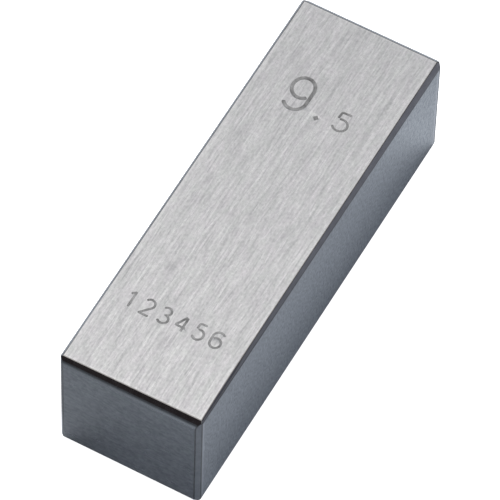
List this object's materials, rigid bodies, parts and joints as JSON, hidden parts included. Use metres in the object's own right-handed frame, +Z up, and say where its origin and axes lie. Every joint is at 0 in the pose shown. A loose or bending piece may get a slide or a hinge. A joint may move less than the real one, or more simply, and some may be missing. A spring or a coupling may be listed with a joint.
{
  "type": "gauge block",
  "caption": "Rectangular steel gauge block with lapped parallel measuring faces, ground sides and ends, and bevelled edges.",
  "frame": {"origin": "middle of the lower side face, on which the block rests", "axes": "+X through the gauge length towards one measuring face, +Y along the block's length, +Z up out of the marked side face"},
  "size_m": [0.0094, 0.0298, 0.0088],
  "materials": {
    "gauge_steel": "hardened steel, finely ground along the sides, with two lapped measuring faces"
  },
  "bodies": {
    "root": {"gauge_block": "gauge_steel"}
  },
  "joints": []
}
